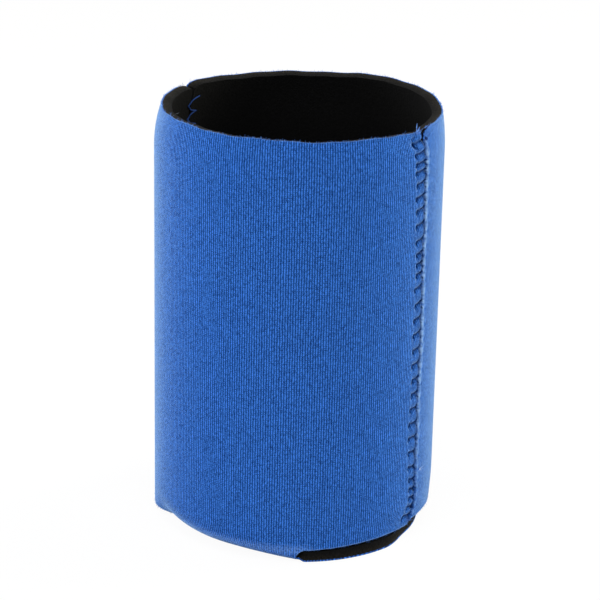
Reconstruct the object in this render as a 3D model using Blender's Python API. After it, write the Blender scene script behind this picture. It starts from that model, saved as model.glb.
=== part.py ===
"""Can cooler sleeve.

One die-cut blank of knit-faced foam rubber. Its two wall panels are folded up from opposite sides
of the round base and closed by two butt seams, each sewn with a zigzag lockstitch. The notches
between base and walls stay open as slits under the seams.

Metres, +Z up. The origin is at the middle of the base's underside. The seams are at +X and -X and
the folds at -Y and +Y. A bearing is an angle from +X, anticlockwise seen from above.
"""

from math import acos, asin, atan, cos, floor, pi, radians, sin, sqrt, tan

import bmesh
import bpy
from mathutils import Matrix, Vector

# The laminated sheet and the cup that it makes
SHEET = 0.0028  # thickness: knit face, foam and lining
BORE_RADIUS = 0.0332
RIM_HEIGHT = 0.1073
RIM_SLANT = 0.0006  # the rim is this much higher on one side, and lower on the other
RIM_SLANT_BEARING = radians(-110)
RIM_DRAW = 0.0009  # how far the rim draws in
RIM_DRAW_LENGTH = 0.0100

# The base, cut a little smaller than the bore and sewn up off centre
BASE_CLEARANCE = 0.0006
BASE_SHIFT_X = 0.0024
BASE_SHIFT_Y = -0.0016

# The folds that carry the walls, and the notches between them
NOTCH_REACH = radians(57.7)  # from the seam to the notch's end
NOTCH_END_LENGTH = 0.0012  # length of the notch's rounded end
NOTCH_END_SHARE = 0.3  # of the notch's width, left at the tip of that end
EDGE_GAP_AT_FOLD = 0.0006  # wall's lower edge above the base's upper face
EDGE_GAP_AT_RIGHT_SEAM = 0.0019
EDGE_GAP_AT_LEFT_SEAM = -0.0009  # here the base tucks inside the wall
FOLD_INNER_RADIUS = 0.0067  # inside the bend, in the middle of a fold
FOLD_INNER_RADIUS_RIGHT = 0.0008  # at the ends nearest the right seam
FOLD_INNER_RADIUS_LEFT = 0.0055
CURL_REACH = radians(20)  # how far past a notch's end the edges still follow the bend

# The butt seams
BUTT_GAP = 0.0003
SEAM_OPENING = 0.0014  # width of the seam's open top at the rim
SEAM_OPENING_DEPTH = 0.0036
SEAM_PRESS = 0.0003  # how far the stitches press each face in
SEAM_BAND = 0.0050  # from the butt line to where the pressed band ends
SEAM_BAND_EASE = 0.0008

# The zigzag stitches, whose needle holes lie further from the butt line on the clockwise side
THREAD = 0.0004
THREAD_CLEARANCE = 0.0003
NEEDLE_CLOCKWISE = 0.0040
NEEDLE_ANTICLOCKWISE = 0.0019
STITCH_PITCH = 0.0038
STITCH_TURN = 0.0005  # between the two legs that go into one needle hole
STITCH_TOP_MARGIN = 0.0030  # from the rim to the last needle hole
STITCH_FOOT_MARGIN = 0.0022  # from the wall's lower edge to the first

# The dimple that the stitches pull into the knit at each needle hole
DIMPLE_DEPTH = 0.0011
DIMPLE_MOUTH_RADIUS = 0.0008
DIMPLE_FLOOR_RADIUS = 0.0006
DIMPLE_THREAD_DEPTH = 0.0005  # of the thread's middle, at the bottom of its loop

# Facets
BEARINGS_PER_NOTCH = 8
BEARINGS_PER_HALF_FOLD = 5
DIMPLE_SIDES = 6
BASE_RING_SHARES = (0.35, 0.60, 0.80, 0.88, 0.94, 1.0)
LOWER_WALL_SHARES = (0.0, 0.22, 0.45, 0.70, 1.0)
MIDDLE_WALL_SHARES = (0.33, 0.67)
RIM_SHARES = (0.0, 0.36, 0.64, 0.84, 1.0)

WALL_RADIUS = BORE_RADIUS + SHEET
BASE_RADIUS = BORE_RADIUS - BASE_CLEARANCE
FOLD_RADIUS = FOLD_INNER_RADIUS + SHEET
QUARTER = pi / 2
KNIT_SLOT = 0
FOAM_SLOT = 1


def limited(value, low=0.0, high=1.0):
    return min(max(value, low), high)


def eased(share):
    """0 to 1 with level ends, for a share from 0 to 1."""
    share = limited(share)
    return share * share * (3 - 2 * share)


def blended(first, second, share):
    return first + (second - first) * share


def place(bearing, reach, height):
    return Vector((reach * cos(bearing), reach * sin(bearing), height))


def from_seam(bearing):
    """Angle from the nearest seam, and whether that is the right one, at +X."""
    turned = abs(bearing)
    return (turned, True) if turned <= QUARTER else (pi - turned, False)


def end_radius(right):
    """Outer bend radius at a notch's end."""
    return SHEET + (FOLD_INNER_RADIUS_RIGHT if right else FOLD_INNER_RADIUS_LEFT)


def bend(bearing):
    """Outer radius of the bend between base and wall, and how much of it the sheet follows."""
    angle, right = from_seam(bearing)
    into_fold = limited((angle - NOTCH_REACH) / (QUARTER - NOTCH_REACH))
    radius = blended(FOLD_RADIUS, end_radius(right), (1 - into_fold) ** 2)
    return radius, 1 - eased((NOTCH_REACH - angle) / CURL_REACH)


def base_reach(bearing):
    """Distance from the axis to the edge of the base as it was cut, a disc that sits off centre."""
    along = BASE_SHIFT_X * cos(bearing) + BASE_SHIFT_Y * sin(bearing)
    across = BASE_SHIFT_X * sin(bearing) - BASE_SHIFT_Y * cos(bearing)
    return along + sqrt(BASE_RADIUS**2 - across**2)


def wall_edge_height(bearing):
    """Height of the wall's lower edge as it was cut."""
    angle, right = from_seam(bearing)
    at_seam = EDGE_GAP_AT_RIGHT_SEAM if right else EDGE_GAP_AT_LEFT_SEAM
    return SHEET + blended(at_seam, EDGE_GAP_AT_FOLD, eased(angle / NOTCH_REACH))


def notch_angles(bearing):
    """Where the notch's two edges meet the bend, as angles up from the base."""
    _, right = from_seam(bearing)
    radius = end_radius(right)
    low = asin(limited((base_reach(bearing) - WALL_RADIUS + radius) / radius))
    high = acos(limited(1 - wall_edge_height(bearing) / radius))
    return low, high


def notch_end_bearing(bearing, right):
    """Bearing of the notch's end on the same panel, beside the right or the left seam."""
    turned = NOTCH_REACH if right else pi - NOTCH_REACH
    return turned if bearing > 0 else -turned


def joint_angles(bearing):
    """Across a fold, the angles on the bend between which base and wall join."""
    share = limited((abs(bearing) - NOTCH_REACH) / (pi - 2 * NOTCH_REACH))
    ends = [notch_angles(notch_end_bearing(bearing, right)) for right in (True, False)]
    low, high = (blended(ends[0][k], ends[1][k], share) for k in (0, 1))
    middle, half = (low + high) / 2, (high - low) / 2 * NOTCH_END_SHARE
    return middle - half, middle + half


def edges(bearing):
    """Reach of the base's edge and height of the wall's lower edge, or of the join in a fold."""
    angle, _ = from_seam(bearing)
    radius, _ = bend(bearing)
    low, high = joint_angles(bearing)
    joined = (WALL_RADIUS - radius + radius * sin(low), radius * (1 - cos(high)))
    if angle >= NOTCH_REACH:
        return joined
    along = limited((NOTCH_REACH - angle) * WALL_RADIUS / NOTCH_END_LENGTH)
    opened = sqrt(1 - (1 - along) ** 2)
    cut = (base_reach(bearing), wall_edge_height(bearing))
    return tuple(blended(join, edge, opened) for join, edge in zip(joined, cut))


def rim_height(bearing):
    return RIM_HEIGHT + RIM_SLANT * cos(bearing - RIM_SLANT_BEARING)


def base_point(bearing, reach, depth):
    """A point of the base, or of the bend's lower part, at a depth from the knit face."""
    radius, curl = bend(bearing)
    angle = asin(limited((reach - WALL_RADIUS + radius) / radius))
    slope = atan(curl * tan(angle))
    height = curl * radius * (1 - cos(angle))
    return place(bearing, reach - depth * sin(slope), height + depth * cos(slope))


def wall_point(bearing, height, depth):
    """A point of the wall at a height on the knit face and a depth from it."""
    radius, curl = bend(bearing)
    under = limited((radius - height) / radius)
    inset = curl * radius * (1 - sqrt(1 - under**2))
    lean = atan(curl * under / sqrt(1 - under**2)) if under < 1 else QUARTER
    drawn = limited((height - RIM_HEIGHT + RIM_DRAW_LENGTH) / RIM_DRAW_LENGTH, high=1.1)
    across = from_seam(bearing)[0] * WALL_RADIUS
    pressed = SEAM_PRESS * (1 - eased((across - SEAM_BAND) / SEAM_BAND_EASE))
    through = limited(depth / SHEET)
    reach = WALL_RADIUS - inset - RIM_DRAW * drawn**2 - pressed * (1 - 2 * through)
    return place(bearing, reach - depth * cos(lean), height + depth * sin(lean))


def half_gap(bearing, height):
    """Half the width of the butt gap, which opens in a V under the rim."""
    opened = (height - rim_height(bearing) + SEAM_OPENING_DEPTH) / SEAM_OPENING_DEPTH
    return blended(BUTT_GAP, SEAM_OPENING, limited(opened)) / 2


def quarter_angles():
    """Angles from a seam to the middle of a fold at which the sheet has a section."""
    butt = BUTT_GAP / 2 / WALL_RADIUS
    band = [SEAM_BAND / WALL_RADIUS, (SEAM_BAND + SEAM_BAND_EASE) / WALL_RADIUS]
    tip = NOTCH_END_LENGTH / WALL_RADIUS
    last = NOTCH_REACH - 2 * tip
    step = (last - band[1]) / BEARINGS_PER_NOTCH
    notch = [band[1] + step * (k + 1) for k in range(BEARINGS_PER_NOTCH)]
    tips = [NOTCH_REACH - tip, NOTCH_REACH - tip * 0.3, NOTCH_REACH]
    step = (QUARTER - NOTCH_REACH) / BEARINGS_PER_HALF_FOLD
    fold = [NOTCH_REACH + step * (k + 1) for k in range(BEARINGS_PER_HALF_FOLD)]
    return [butt, *band, *notch, *tips, *fold]


def panel_bearings():
    """Bearings of one wall panel's sections, from the right seam round by +Y to the left one."""
    angles = quarter_angles()
    return angles + [pi - angle for angle in reversed(angles[:-1])]


def section(bearing, depth):
    """The points of one section at a depth: along the base to its edge, then up the wall."""
    edge_reach, edge_height = edges(bearing)
    top = rim_height(bearing)
    draw_start = RIM_HEIGHT - RIM_DRAW_LENGTH
    heights = [blended(edge_height, FOLD_RADIUS, share) for share in LOWER_WALL_SHARES]
    heights += [blended(FOLD_RADIUS, draw_start, share) for share in MIDDLE_WALL_SHARES]
    heights += [blended(draw_start, top, share) for share in RIM_SHARES]
    base = [base_point(bearing, edge_reach * share, depth) for share in BASE_RING_SHARES]
    wall = []
    for height in heights:
        angle, right = from_seam(bearing)
        angle = max(angle, half_gap(bearing, height) / WALL_RADIUS)
        turned = angle if right else pi - angle
        wall.append(wall_point(turned if bearing > 0 else -turned, height, depth))
    return base + wall


def shell(skin, lining, faces):
    """A closed solid between two matching skins, walled in along their border."""
    mesh = bmesh.new()
    outer = [mesh.verts.new(point) for point in skin]
    inner = [mesh.verts.new(point) for point in lining]
    borders = set()
    for face in faces:
        mesh.faces.new([outer[k] for k in face]).material_index = KNIT_SLOT
        mesh.faces.new([inner[k] for k in reversed(face)]).material_index = FOAM_SLOT
        borders |= set(zip(face, face[1:] + face[:1]))
    for first, second in sorted(borders):
        if (second, first) not in borders:
            side = (outer[second], outer[first], inner[first], inner[second])
            mesh.faces.new(side).material_index = FOAM_SLOT
    return mesh


def sheet_faces(bearings, per_panel):
    """Faces of the blank, as indices into its sections: base, walls, and the joins in the folds."""
    rings = len(BASE_RING_SHARES)
    rows = rings + len(LOWER_WALL_SHARES) + len(MIDDLE_WALL_SHARES) + len(RIM_SHARES)
    centre = len(bearings) * rows
    faces = []
    for column in range(len(bearings)):
        following = (column + 1) % len(bearings)
        sewn = column % per_panel == per_panel - 1
        angles = [from_seam(bearings[k])[0] for k in (column, following)]
        folded = min(angles) >= NOTCH_REACH - 1e-9
        here, there = column * rows, following * rows
        faces.append((centre, there, here))
        for row in range(rows - 1):
            open_notch = row == rings - 1 and not folded
            open_seam = row >= rings and sewn
            if not (open_notch or open_seam):
                faces.append((here + row, there + row, there + row + 1, here + row + 1))
    return faces


def finish(name, data, materials):
    item = bpy.data.objects.new(name, data)
    bpy.context.collection.objects.link(item)
    for material in materials:
        data.materials.append(material)
    return item


def foam_sleeve(knit, foam):
    """The folded blank."""
    panel = panel_bearings()
    bearings = panel + [angle - pi for angle in panel]
    skins = []
    for depth in (0.0, SHEET):
        points = [point for bearing in bearings for point in section(bearing, depth)]
        skins.append(points + [Vector((0.0, 0.0, depth))])
    mesh = shell(*skins, sheet_faces(bearings, len(panel)))
    data = bpy.data.meshes.new("foam_sleeve")
    mesh.to_mesh(data)
    mesh.free()
    data.shade_smooth()
    data.set_sharp_from_angle(angle=radians(40))
    sleeve = finish("foam_sleeve", data, [knit, foam])
    cut = sleeve.modifiers.new("needle_dimples", "BOOLEAN")
    cut.object = dimple_cutter()
    cut.operation = "DIFFERENCE"
    return sleeve


def needle_holes(right):
    """The place of each needle hole of a seam, from the bottom up: across it, and height."""
    seam = 0.0 if right else pi
    first = wall_edge_height(seam) + STITCH_FOOT_MARGIN
    last = rim_height(seam) - STITCH_TOP_MARGIN
    stitches = floor((last - first) / STITCH_PITCH)
    sides = (-NEEDLE_CLOCKWISE, NEEDLE_ANTICLOCKWISE)
    steps = range(2 * stitches + 1)
    return [(sides[step % 2], first + step * STITCH_PITCH / 2) for step in steps]


def at_seam(right, across, height, depth):
    """A point beside a butt seam, at a distance anticlockwise from the butt line."""
    bearing = (0.0 if right else pi) + across / WALL_RADIUS
    return wall_point(bearing - 2 * pi if bearing > pi else bearing, height, depth)


def dimple_cutter():
    """Tapered plugs, one in each needle hole of both seams."""
    mesh = bmesh.new()
    for right in (True, False):
        for across, height in needle_holes(right):
            mouth = at_seam(right, across, height, -THREAD)
            inward = at_seam(right, across, height, DIMPLE_DEPTH) - mouth
            turn = inward.to_track_quat("Z", "Y").to_matrix().to_4x4()
            bmesh.ops.create_cone(
                mesh,
                cap_ends=True,
                segments=DIMPLE_SIDES,
                radius1=DIMPLE_MOUTH_RADIUS,
                radius2=DIMPLE_FLOOR_RADIUS,
                depth=inward.length,
                matrix=Matrix.Translation(mouth + inward / 2) @ turn,
            )
    data = bpy.data.meshes.new("dimple_cutter")
    mesh.to_mesh(data)
    mesh.free()
    cutter = finish("dimple_cutter", data, [])
    cutter.hide_render = True
    cutter.display_type = "WIRE"
    return cutter


def thread(name, points, material):
    """A sewing thread along a list of points."""
    curve = bpy.data.curves.new(name, "CURVE")
    curve.dimensions = "3D"
    curve.bevel_depth = THREAD / 2
    curve.bevel_resolution = 0
    curve.use_fill_caps = True
    line = curve.splines.new("POLY")
    line.points.add(len(points) - 1)
    for knot, point in zip(line.points, points):
        knot.co = (*point, 1.0)
    return finish(name, curve, [material])


def stitch_path(right, on_face, in_hole):
    """A zigzag from hole to hole at the depth on_face, with a loop to in_hole at each hole."""
    holes = needle_holes(right)
    points = []
    for k, (across, height) in enumerate(holes):
        low, high = height - STITCH_TURN / 2, height + STITCH_TURN / 2
        loop = [(low, on_face), (low, in_hole), (high, in_hole), (high, on_face)]
        if in_hole == on_face:
            loop = [(low, on_face), (high, on_face)]
        points += [at_seam(right, across, level, depth) for level, depth in loop]
        if k + 1 < len(holes):
            halfway = (across + holes[k + 1][0]) / 2
            level = height + STITCH_PITCH / 4
            points.append(at_seam(right, halfway, level, on_face))
    return points


def seam_threads(side, right, material):
    """The two threads of one seam: needle thread on the knit, bobbin thread on the lining."""
    off = THREAD_CLEARANCE + THREAD / 2
    outer = stitch_path(right, -off, DIMPLE_THREAD_DEPTH)
    inner = stitch_path(right, SHEET + off, SHEET + off)
    thread(f"needle_thread_{side}", outer, material)
    thread(f"bobbin_thread_{side}", inner, material)


def plain_material(name, colour, roughness):
    material = bpy.data.materials.new(name)
    material.use_nodes = True
    shader = material.node_tree.nodes["Principled BSDF"]
    shader.inputs["Base Color"].default_value = (*colour, 1.0)
    shader.inputs["Roughness"].default_value = roughness
    shader.inputs["Metallic"].default_value = 0.0
    material.diffuse_color = (*colour, 1.0)
    return material


for leftover in list(bpy.data.objects):
    bpy.data.objects.remove(leftover, do_unlink=True)

blue_knit = plain_material("blue_knit", (0.022, 0.105, 0.420), 0.8)
black_foam = plain_material("black_foam", (0.012, 0.012, 0.012), 0.9)
blue_thread = plain_material("blue_thread", (0.018, 0.080, 0.340), 0.6)

foam_sleeve(blue_knit, black_foam)
seam_threads("right", True, blue_thread)
seam_threads("left", False, blue_thread)
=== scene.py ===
from math import cos, pi, radians, sin

import bpy
import numpy as np
from mathutils import Matrix, Vector


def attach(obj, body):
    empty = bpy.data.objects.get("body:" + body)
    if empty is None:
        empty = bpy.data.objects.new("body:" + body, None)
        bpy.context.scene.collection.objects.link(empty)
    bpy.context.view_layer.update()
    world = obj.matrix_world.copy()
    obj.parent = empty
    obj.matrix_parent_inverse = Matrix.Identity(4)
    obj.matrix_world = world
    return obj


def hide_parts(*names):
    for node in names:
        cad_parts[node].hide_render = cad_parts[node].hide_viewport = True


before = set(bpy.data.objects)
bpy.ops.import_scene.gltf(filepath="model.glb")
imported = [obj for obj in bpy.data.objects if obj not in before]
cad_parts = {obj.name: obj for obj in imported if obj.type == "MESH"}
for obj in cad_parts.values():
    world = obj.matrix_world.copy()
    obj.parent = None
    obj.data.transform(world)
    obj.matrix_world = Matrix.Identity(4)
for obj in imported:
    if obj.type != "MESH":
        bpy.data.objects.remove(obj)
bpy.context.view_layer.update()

# The camera. It looks down at the sleeve from the front right, a little more than half a metre
# away, with the right seam near the edge of what shows.
CAMERA_ROUND = radians(31.7)
CAMERA_ABOVE = radians(19.39)
CAMERA_ROLL = radians(1.16)
CAMERA_AWAY = 0.5678
SIGHT_HEIGHT = 0.060
LENS = 134.33
AIM_RIGHT, AIM_DOWN = 0.001519, 0.006298  # how far off the sight point the lens is turned

level = Vector((cos(CAMERA_ROUND), sin(CAMERA_ROUND), 0))
sight = Vector((
    -sin(CAMERA_ROUND) * cos(CAMERA_ABOVE), cos(CAMERA_ROUND) * cos(CAMERA_ABOVE), -sin(CAMERA_ABOVE)))
upright = level.cross(sight)
across_view = level * cos(CAMERA_ROLL) + upright * sin(CAMERA_ROLL)
up_view = upright * cos(CAMERA_ROLL) - level * sin(CAMERA_ROLL)
aim = (sight + across_view * AIM_RIGHT - up_view * AIM_DOWN).normalized()
across_view = (across_view - aim * across_view.dot(aim)).normalized()
turned = Matrix((across_view, across_view.cross(aim), -aim)).transposed().to_4x4()
bpy.ops.object.camera_add(location=Vector((0, 0, SIGHT_HEIGHT)) - sight * CAMERA_AWAY)
camera = bpy.context.object
camera.name = "camera"
camera.rotation_euler = turned.to_euler()
camera.data.lens = LENS
camera.data.sensor_width = 36
camera.data.clip_start = 0.01
bpy.context.scene.camera = camera
bpy.context.scene.view_settings.view_transform = "Standard"

# The foam core of the blank: a closed sheet of black foam rubber, 2.4 mm thick, die-cut as two
# wall panels with a round base between them. The panels are folded up from opposite sides of the
# base and meet edge to edge at the two seams. Each panel, with its half of the base, is one piece.
SHEET = 0.0028  # foam and knit together
KNIT = 0.0004
WALL_RADIUS = 0.0360
RIM_HEIGHT = 0.1073
RIM_SLANT, RIM_SLANT_BEARING = 0.0006, radians(-110)
RIM_RISE, RIM_RISE_BEARING, RIM_RISE_REACH = 0.0015, radians(72), radians(38)
RIM_WAVES = ((0.00012, 9, 0), (0.00008, 23, 1))  # height, how many go round the rim, and start
RIM_DRAW, RIM_DRAW_LENGTH = 0.0009, 0.0100
LEFT_DRAW, LEFT_DRAW_BEARINGS, LEFT_DRAW_REACH = 0.0008, (radians(-155), radians(205)), 0.5
TUCK, TUCK_HEIGHT, TUCK_FADE = 0.0008, 0.0130, (radians(28), radians(24))  # of the wall over the right slit
BASE_RADIUS, BASE_SHIFT = 0.0329, (0.0024, -0.0016)
# How much shorter the base is beside the right seam, and the bearing and angle over which that
# starts and then ends
BASE_SHORT = 0.0016
BASE_SHORT_STARTS, BASE_SHORT_ENDS = (radians(-17), radians(17)), (radians(25), radians(20))
NOTCH_REACH = radians(56.4)  # from a seam to the end of the slit under it
NOTCH_END_LENGTH, NOTCH_END_SHARE, NOTCH_END_MIDDLE = 0.0024, 0.3, -0.1
# How far the wall's edge is over the base's: in front of the right seam and behind it, at the ends
# of the slit under it, and at the left slit's middle and ends
EDGE_GAP_FRONT, EDGE_GAP_REAR, EDGE_GAP_RIGHT = 0.0009, 0.0019, 0.0005
EDGE_GAP_LEFT, EDGE_GAP_LEFT_START = (-0.0003, -0.0024), radians(22)
FOLD_RADIUS, FOLD_RADIUS_RIGHT, FOLD_RADIUS_LEFT = 0.0080, 0.0026, 0.0086
CURL_REACH_RIGHT, CURL_REACH_LEFT, BASE_CURL_REACH = radians(20), radians(17), radians(3.5)
SEAM_OPENING, SEAM_OPENING_DEPTH = 0.0014, 0.0036
STRAY_REACH, LEFT_STRAY = 0.014, 0.4  # how far aside the wall follows a seam, and the left one's share
SEAM_STRAY = np.array([  # height in millimetres, and how far anticlockwise the seam is there in degrees
    (0, -3.0), (5.3, -2.2), (6.6, -0.7), (9.7, 0.7), (13, 0.7), (17, 0.5), (22, 0.2), (28, 0.7), (35, 0.4),
    (41, 0.2), (47, 0.8), (50, 1.0), (60, 0.8), (66, 0.7), (70, 0.2), (76, 0.0), (82, 0.5), (88, 0.1),
    (94, -0.1), (100.6, 0.0), (102.3, -0.3), (104.2, -1.8), (105.5, -2.6), (108, -2.4)])
QUARTER = pi / 2

# Where the needle went through, as heights up the seam that shows, and the row on the hidden one
HOLES_RIGHT = np.array(
    [6.3, 8.4, 10.8, 13.2, 15.9, 19.4, 23.5, 27.4, 31.2, 35.2, 39.1, 42.9, 46.9, 50.7, 54.8, 58.7, 62.6,
     66.8, 70.4, 73.1, 75.7, 79.0, 83.1, 86.9, 90.2, 93.6, 96.7, 98.8, 101.2, 104.0]
) / 1000
HOLES_LEFT = np.linspace(6.2, 104.0, 27) / 1000 + 0.0003 * np.sin(np.arange(27) * 2.4)
# From the butt line back to each of those holes, and forward to the holes on its other side
NEAR_RIGHT = np.array(
    [3.6, 2.6, 2.2, 2.2, 2.4, 2.8, 3.0, 3.4, 3.4, 3.0, 2.7, 2.7, 3.1, 3.1, 3.2, 3.1, 2.7,
     3.1, 2.5, 2.5, 2.6, 3.1, 3.4, 3.3, 3.6, 3.4, 4.0, 4.0, 4.3, 4.3]
) / 1000
NEAR_LEFT = 0.0031 + 0.0004 * np.sin(np.arange(27) * 1.7 + 1)
NEEDLE_FAR = 0.0014
TOP_LOOP = -0.0036, 0.1043, 0.0014  # the last stitch under the rim: middle of its loop, and radius


def limited(value, low=0.0, high=1.0):
    return np.clip(value, low, high)


def eased(share):
    share = limited(share)
    return share * share * (3 - 2 * share)


def stepped(value, start, width):
    """0 up to the start, and 1 from a width past it."""
    return eased((value - start) / width)


def hump(value, width):
    """1 at nought, and soon nothing past a width on either side."""
    return np.exp(-((value / width) ** 2))


def fading(distance, length):
    return np.exp(-distance / length)


def blended(first, second, share):
    return first + (second - first) * share


def from_seam(bearing):
    """Angle from the nearest seam, and whether that is the right one."""
    turn = np.abs(bearing)
    return np.where(turn <= QUARTER, turn, pi - turn), turn <= QUARTER


def bend(bearing):
    """Outer radius of the bend under the wall, and how much of it the sheet follows."""
    angle, right = from_seam(bearing)
    into = limited((angle - NOTCH_REACH) / (QUARTER - NOTCH_REACH))
    at_slit = np.where(right, FOLD_RADIUS_RIGHT, FOLD_RADIUS_LEFT)
    radius = blended(FOLD_RADIUS, at_slit, (1 - into) ** (1.0 + right))
    return radius, 1 - eased((NOTCH_REACH - angle) / np.where(right, CURL_REACH_RIGHT, CURL_REACH_LEFT))


def cut_edges(bearing):
    """Reach of the base's cut edge and height of the wall's."""
    along = BASE_SHIFT[0] * np.cos(bearing) + BASE_SHIFT[1] * np.sin(bearing)
    aside = BASE_SHIFT[0] * np.sin(bearing) - BASE_SHIFT[1] * np.cos(bearing)
    angle, right = from_seam(bearing)
    by_seam = np.where(bearing < 0, EDGE_GAP_FRONT, EDGE_GAP_REAR)
    gap_right = blended(by_seam, EDGE_GAP_RIGHT, eased(angle / NOTCH_REACH))
    gap_left = blended(*EDGE_GAP_LEFT, stepped(angle, EDGE_GAP_LEFT_START, NOTCH_REACH - EDGE_GAP_LEFT_START))
    short = BASE_SHORT * stepped(bearing, *BASE_SHORT_STARTS) * (1 - stepped(bearing, *BASE_SHORT_ENDS))
    reach = along + np.sqrt(BASE_RADIUS**2 - aside**2) - short
    return reach, SHEET + np.where(right, gap_right, gap_left)


def notch_angles(turn, right):
    """Angles up the bend at which a slit's end begins and stops."""
    radius = FOLD_RADIUS_RIGHT if right else FOLD_RADIUS_LEFT
    reach, height = cut_edges(turn)
    begins = np.arcsin(limited((reach - WALL_RADIUS + radius) / radius))
    return begins, np.arccos(limited(1 - height / radius))


def edges(bearing):
    """Reach of the base's edge and height of the wall's, which join across a fold."""
    angle, _ = from_seam(bearing)
    radius, _ = bend(bearing)
    side = np.sign(bearing)
    share = limited((np.abs(bearing) - NOTCH_REACH) / (pi - 2 * NOTCH_REACH))
    slit_ends = ((NOTCH_REACH, True), (pi - NOTCH_REACH, False))
    ends = [notch_angles(side * turn, right) for turn, right in slit_ends]
    low, high = (blended(ends[0][k], ends[1][k], share) for k in (0, 1))
    middle, half = blended(low, high, NOTCH_END_MIDDLE), (high - low) / 2 * NOTCH_END_SHARE
    low, high = middle - half, middle + half
    along = limited((NOTCH_REACH - angle) * WALL_RADIUS / NOTCH_END_LENGTH)
    opened = np.sqrt(1 - (1 - along) ** 2)
    reach, height = cut_edges(bearing)
    joined = WALL_RADIUS - radius + radius * np.sin(low), radius * (1 - np.cos(high))
    return blended(joined[0], reach, opened), blended(joined[1], height, opened)


def rim_height(bearing):
    raised = RIM_RISE * hump(bearing - RIM_RISE_BEARING, RIM_RISE_REACH)
    wavy = sum(tall * np.sin(bearing * count + start) for tall, count, start in RIM_WAVES)
    return RIM_HEIGHT + RIM_SLANT * np.cos(bearing - RIM_SLANT_BEARING) + raised + wavy


def leaning(bearing, height):
    """The bearing after the seam's wander: it strays clockwise under the rim and at its foot."""
    angle, right = from_seam(bearing)
    stray = np.interp(height * 1000, SEAM_STRAY[:, 0], SEAM_STRAY[:, 1])
    share = np.where(right, 1.0, LEFT_STRAY) * (1 - eased(angle * WALL_RADIUS / STRAY_REACH))
    return bearing + np.radians(stray) * share


def placed(bearing, reach, height):
    return np.stack([reach * np.cos(bearing), reach * np.sin(bearing), height], axis=-1)


def base_places(bearing, reach, depth):
    """Points of the base and the lower bend, at a depth from the knit face."""
    radius, curl = bend(bearing)
    beside, right = from_seam(bearing)
    curl = np.where(right, 1 - eased((NOTCH_REACH - beside) / BASE_CURL_REACH), curl)
    angle = np.arcsin(limited((reach - WALL_RADIUS + radius) / radius))
    slope = np.arctan(curl * np.tan(angle))
    height = curl * radius * (1 - np.cos(angle))
    return placed(bearing, reach - depth * np.sin(slope), height + depth * np.cos(slope))


def wall_places(bearing, height, depth):
    """Points of the wall, at a height on the knit face and a depth from it."""
    radius, curl = bend(bearing)
    under = limited((radius - height) / radius, 0, 0.9999)  # just short of where the bend lies flat
    inset = curl * radius * (1 - np.sqrt(1 - under**2))
    lean = np.arctan(curl * under / np.sqrt(1 - under**2))
    drawn = limited((height - RIM_HEIGHT + RIM_DRAW_LENGTH) / RIM_DRAW_LENGTH, high=1.1)
    angle, right = from_seam(bearing)
    tuck = TUCK * limited(1 - height / TUCK_HEIGHT) ** 1.5 * (1 - stepped(angle, *TUCK_FADE)) * right
    aside = np.minimum(*(np.abs(bearing - place) for place in LEFT_DRAW_BEARINGS))
    more = LEFT_DRAW * hump(aside, LEFT_DRAW_REACH)
    reach = WALL_RADIUS - inset - tuck - (RIM_DRAW + more) * drawn**2
    return placed(leaning(bearing, height), reach - depth * np.cos(lean), height + depth * np.sin(lean))


# How much of its way the rising leg makes before the butt, low and high on the wall, and the
# falling leg before the butt and past it
LEG_RISE, LEG_RISE_HEIGHT = (-0.28, 0.36), 0.070
LEG_FALL, LEG_FALL_BEYOND = 0.45, 0.55


def leg_heights(across, height, near, up, down):
    """How far over and under its hole the two legs of a stitch are. Low on the wall they lie flatter."""
    share, past = limited((across + near) / near), limited(across / NEEDLE_FAR)
    rise = blended(*LEG_RISE, eased(height / LEG_RISE_HEIGHT))
    leg_up = up * (rise * share**1.3 + (1 - rise) * past**0.5)
    return leg_up, -down * (LEG_FALL * share**1.5 + LEG_FALL_BEYOND * past**0.5)


# What the stitches do to the knit's face: how deep or high each mark is, and how wide
SEWN_BELOW, SEWN_ABOVE, SEWN_FADE = 0.0022, 0.0016, 0.001  # past the first and the last hole
BAND_OVER, BAND_FADE, BAND_SUNK = 0.0001, 0.0008, 0.00026
LEG_SLANT = 0.85  # a leg slants, so it is this much nearer to a point than it is over or under it
GROOVE, GROOVE_BEYOND, GROOVE_WIDTH = 0.00036, 0.00012, 0.00038
GROOVE_BY_HOLE, GROOVE_BY_HOLE_LENGTH = 0.00030, 0.0012
FAINT_GROOVE, FAINT_GROOVE_WIDTH = 0.25, 0.00050
PILLOW, PILLOW_BEYOND, PILLOW_WIDTH, FAINT_PILLOW = 0.00024, 0.00006, 0.0008, 0.3
DIMPLE, DIMPLE_SIZE, DIMPLE_SHIFT = 0.00085, (0.00048, 0.00058), (0.0001, -0.0002)
FAR_DIMPLE, FAR_DIMPLE_SIZE = 0.00020, (0.0004, 0.00035)
CREASE = 0.00004
GAPE_STARTS, GAPE_ENDS, GAPE_WIDTH = (0, 0.0003), (0.0011, 0.0005), 0.00026
LOOP_DEEP, LOOP_WIDTH, LOOP_FADE = 0.00040, 0.00034, 0.0010
RIDGE, RIDGE_WIDTH, RIDGE_UNSEWN = 0.00050, 0.00095, 0.25
ROLLED_IN, ROLLED_WIDTH, ROLLED_UNSEWN = (0.00024, 0.00014), 0.00024, 0.3
# How much shade is painted into the knit where it is drawn down, from 0 to 1, at each of them
SHADE_HOLE_SHARE, SHADE_LEG, SHADE_LEG_WIDTH, SHADE_BUTT, SHADE_LOOP, SHADE_BAND = 0.9, 0.7, 0.00024, 0.8, 0.8, 0.14


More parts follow.
